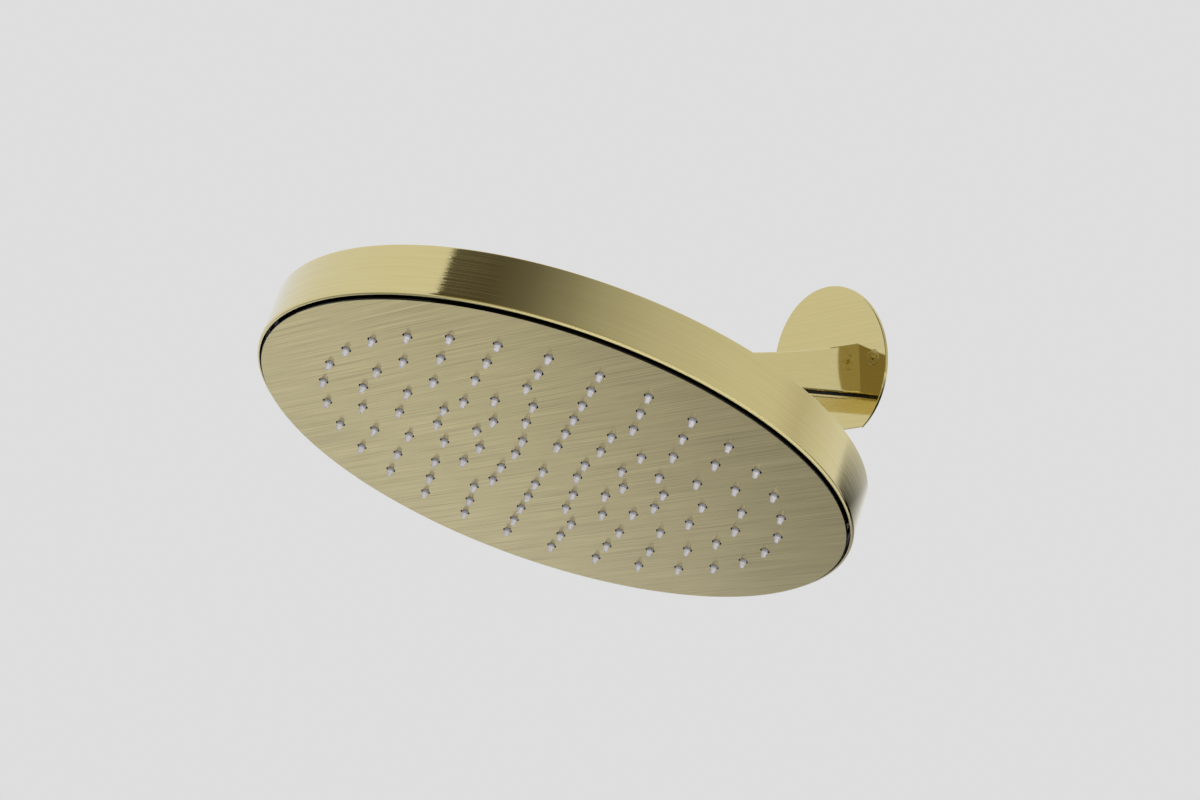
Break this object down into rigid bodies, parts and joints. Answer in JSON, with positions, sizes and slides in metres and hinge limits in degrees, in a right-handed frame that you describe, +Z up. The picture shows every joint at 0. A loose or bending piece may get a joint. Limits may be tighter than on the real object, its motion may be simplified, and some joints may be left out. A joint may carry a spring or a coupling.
{
  "type": "rain shower head",
  "caption": "Wall-mounted rain shower head: flat tapered arm on a thin round flange, with a round perforated spray drum that tilts on a ball joint.",
  "frame": {"origin": "centre of the flange's back face, midway between its two screws, on the wall plane", "axes": "+Y into the wall, +Z up, +X to the right seen from the room"},
  "size_m": [0.221, 0.2562, 0.1205],
  "materials": {
    "brushed_brass": "brushed, lacquered",
    "brass_screw": "satin",
    "turned_brass": "turned",
    "black_moulding": "moulded",
    "white_moulding": "moulded",
    "steel": "plain",
    "black_rubber": "moulded",
    "silicone": "translucent, moulded"
  },
  "bodies": {
    "arm": {"wall_flange": "brushed_brass", "flange_screws": "brass_screw", "inlet_nipple": "turned_brass", "inlet_seal": "black_rubber", "flow_regulator": "white_moulding", "inlet_filter": "steel", "arm_body": "brushed_brass", "arm_spacer": "black_moulding", "arm_cover": "brushed_brass", "stem_seal": "black_rubber", "ball_stem": "turned_brass"},
    "seats": {"lower_seat": "white_moulding", "upper_seat": "white_moulding"},
    "head": {"gland_nut": "turned_brass", "socket_body": "turned_brass", "socket_gasket": "black_rubber", "hub_gasket": "black_rubber", "ring_nut": "turned_brass", "head_shell": "brushed_brass", "chamber_cover": "black_moulding", "nozzle_mat": "silicone", "face_plate": "brushed_brass", "plate_studs": "steel", "stud_nuts": "steel"}
  },
  "joints": [
    {"name": "head_tilt", "type": "hinge", "parent": "arm", "child": "seats", "pos_m": [0, -0.13468, -0.03156], "axis": [1, 0, 0], "range_deg": [-3, 25]},
    {"name": "head_spin", "type": "hinge", "parent": "seats", "child": "head", "pos_m": [0, -0.13468, -0.03156], "axis": [0, 0.4226, 0.9063], "continuous": true}
  ]
}
